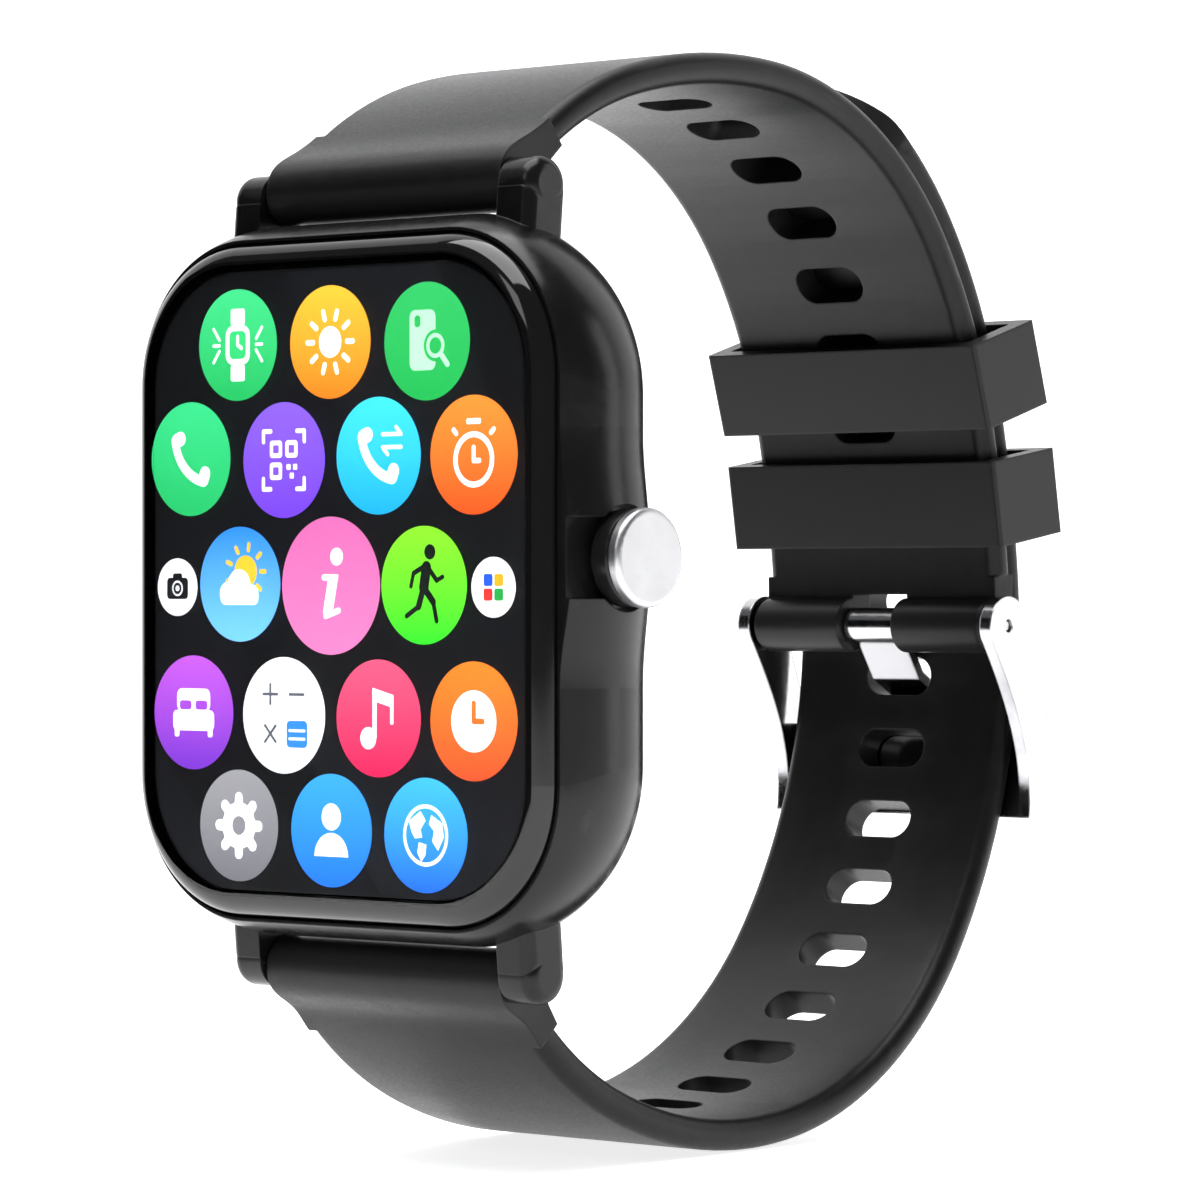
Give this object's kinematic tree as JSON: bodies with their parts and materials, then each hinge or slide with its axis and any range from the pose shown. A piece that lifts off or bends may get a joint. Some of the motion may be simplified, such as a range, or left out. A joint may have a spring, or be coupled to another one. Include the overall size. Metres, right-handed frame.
{
  "type": "smartwatch",
  "caption": "Smartwatch with a rounded rectangular touch screen, a side crown and a black silicone strap closed by a steel tang buckle and loose keepers",
  "frame": {"origin": "middle of the case back, in the plane of its flat rim, where the back rests on the wrist", "axes": "+X points to the crown side (3 o'clock), +Y from the case back into the wrist, +Z to 12 o'clock; the display faces -Y"},
  "size_m": [0.04, 0.0587, 0.0695],
  "materials": {
    "case_black": "gloss",
    "cover_lens": "polished",
    "display_stack": "gloss",
    "gasket_black": "matte",
    "chassis_grey": "matte",
    "board_green": "satin",
    "chip_black": "matte",
    "shield_tin": "brushed",
    "cell_silver": "satin",
    "flex_amber": "satin",
    "back_black": "matte",
    "sensor_smoke": "polished",
    "led_clear": "gloss",
    "contact_gold": "polished",
    "magnet_nickel": "polished",
    "steel_polished": "polished",
    "steel_satin": "satin",
    "cap_satin": "satin",
    "brass": "turned",
    "strap_silicone": "satin"
  },
  "bodies": {
    "watch": {"backlight_plate": "display_stack", "battery_cell": "cell_silver", "battery_pad": "gasket_black", "board_chips": "chip_black", "buckle_bar_spring": "steel_satin", "buckle_bar_tube": "steel_satin", "case_shell": "case_black", "charging_contacts": "contact_gold", "charging_magnets": "magnet_nickel", "cover_glass": "cover_lens", "crown_bushing": "brass", "crown_oring": "gasket_black", "display_flex": "flex_amber", "display_gasket": "gasket_black", "display_panel": "display_stack", "inner_chassis": "chassis_grey", "lower_bar_spring": "steel_satin", "lower_bar_tube": "steel_satin", "lower_strap": "strap_silicone", "main_board": "board_green", "microphone_can": "shield_tin", "motor_can": "steel_satin", "rear_cover": "back_black", "rear_gasket": "gasket_black", "rear_screws": "steel_satin", "sensor_board": "board_green", "sensor_leds": "led_clear", "sensor_window": "sensor_smoke", "shield_can": "shield_tin", "speaker_box": "chip_black", "speaker_diaphragm": "flex_amber", "switch_body": "chip_black", "touch_layer": "display_stack", "upper_bar_spring": "steel_satin", "upper_bar_tube": "steel_satin", "upper_strap": "strap_silicone"},
    "crown_plunger": {"crown_shaft": "steel_polished", "crown_clip": "steel_satin"},
    "crown": {"crown_cap": "cap_satin", "crown_ring": "case_black"},
    "switch_plunger": {"switch_button": "back_black"},
    "rotor": {"motor_rotor": "steel_satin"},
    "keeper_a": {"keeper_1": "strap_silicone"},
    "keeper_b": {"keeper_2": "strap_silicone"},
    "buckle": {"buckle_frame": "steel_polished"},
    "tongue": {"buckle_tongue": "steel_polished"},
    "upper_right_pin": {"upper_bar_tip_right": "steel_satin"},
    "upper_left_pin": {"upper_bar_tip_left": "steel_satin"},
    "lower_right_pin": {"lower_bar_tip_right": "steel_satin"},
    "lower_left_pin": {"lower_bar_tip_left": "steel_satin"},
    "buckle_right_pin": {"buckle_bar_tip_right": "steel_satin"},
    "buckle_left_pin": {"buckle_bar_tip_left": "steel_satin"}
  },
  "joints": [
    {"name": "crown_press", "type": "slide", "parent": "watch", "child": "crown_plunger", "axis": [-1, 0, 0], "range_m": [0, 0.0004], "stiffness_N_per_m": 2500},
    {"name": "crown_spin", "type": "hinge", "parent": "crown_plunger", "child": "crown", "pos_m": [0.0205, -0.0047, 0.0013], "axis": [1, 0, 0], "continuous": true},
    {"name": "switch_press", "type": "slide", "parent": "watch", "child": "switch_plunger", "axis": [-1, 0, 0], "range_m": [0, 0.0004]},
    {"name": "motor_spin", "type": "hinge", "parent": "watch", "child": "rotor", "pos_m": [0.0076, -0.0046, 0.0106], "axis": [0, 1, 0], "continuous": true},
    {"name": "keeper_1_slide", "type": "slide", "parent": "watch", "child": "keeper_a", "axis": [0, 0.2906, -0.9568], "range_m": [-0.001, 0.001]},
    {"name": "keeper_2_slide", "type": "slide", "parent": "watch", "child": "keeper_b", "axis": [0, 0.1614, -0.9869], "range_m": [-0.001, 0.001]},
    {"name": "buckle_swing", "type": "hinge", "parent": "watch", "child": "buckle", "pos_m": [0, 0.0429, -0.00295], "axis": [1, 0, 0], "range_deg": [0, 5]},
    {"name": "tongue_swing", "type": "hinge", "parent": "buckle", "child": "tongue", "pos_m": [0, 0.0429, -0.00295], "axis": [1, 0, 0], "range_deg": [0, 3]},
    {"name": "upper_right_pin_slide", "type": "slide", "parent": "watch", "child": "upper_right_pin", "axis": [-1, 0, 0], "range_m": [0, 0.00145], "stiffness_N_per_m": 1500, "deforming": ["upper_bar_spring"]},
    {"name": "upper_left_pin_slide", "type": "slide", "parent": "watch", "child": "upper_left_pin", "axis": [1, 0, 0], "range_m": [0, 0.00145], "stiffness_N_per_m": 1500},
    {"name": "lower_right_pin_slide", "type": "slide", "parent": "watch", "child": "lower_right_pin", "axis": [-1, 0, 0], "range_m": [0, 0.00145], "stiffness_N_per_m": 1500, "deforming": ["lower_bar_spring"]},
    {"name": "lower_left_pin_slide", "type": "slide", "parent": "watch", "child": "lower_left_pin", "axis": [1, 0, 0], "range_m": [0, 0.00145], "stiffness_N_per_m": 1500},
    {"name": "buckle_right_pin_slide", "type": "slide", "parent": "watch", "child": "buckle_right_pin", "axis": [-1, 0, 0], "range_m": [0, 0.0008], "stiffness_N_per_m": 1500, "deforming": ["buckle_bar_spring"]},
    {"name": "buckle_left_pin_slide", "type": "slide", "parent": "watch", "child": "buckle_left_pin", "axis": [1, 0, 0], "range_m": [0, 0.0008], "stiffness_N_per_m": 1500}
  ],
  "couplings": [
    {"joint": "switch_press", "follows": "crown_press", "ratio": 1}
  ]
}
